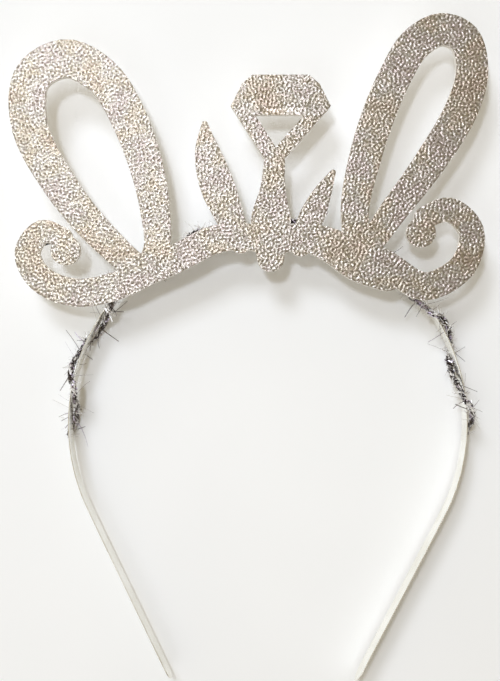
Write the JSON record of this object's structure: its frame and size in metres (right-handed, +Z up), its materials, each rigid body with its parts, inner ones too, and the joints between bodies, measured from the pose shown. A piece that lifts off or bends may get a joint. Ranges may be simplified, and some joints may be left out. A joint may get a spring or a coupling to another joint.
{
  "type": "tiara headband",
  "caption": "Slim round headband wound with tinsel, carrying a flat die-cut crest of open petals, scrolls and a cut gem.",
  "frame": {"origin": "on the table under the middle of the bounding box of the tiara lying face up", "axes": "+Y from the band's tips to the crest's top, +Z up through the crest's glitter face, +X to the right as seen from above with the crest away from the viewer"},
  "size_m": [0.1562, 0.2212, 0.0153],
  "materials": {
    "band_metal": "satin nickel plated spring steel strip",
    "tinsel_foil": "silver metallised film",
    "glitter_foam": "foam sheet faced with crinkled silver glitter",
    "hot_glue": "set hot glue, slightly cloudy"
  },
  "bodies": {
    "root": {"band": "band_metal", "tinsel": "tinsel_foil", "crest": "glitter_foam", "glue_dab_left": "hot_glue", "glue_dab_middle": "hot_glue", "glue_dab_right": "hot_glue"}
  },
  "joints": []
}
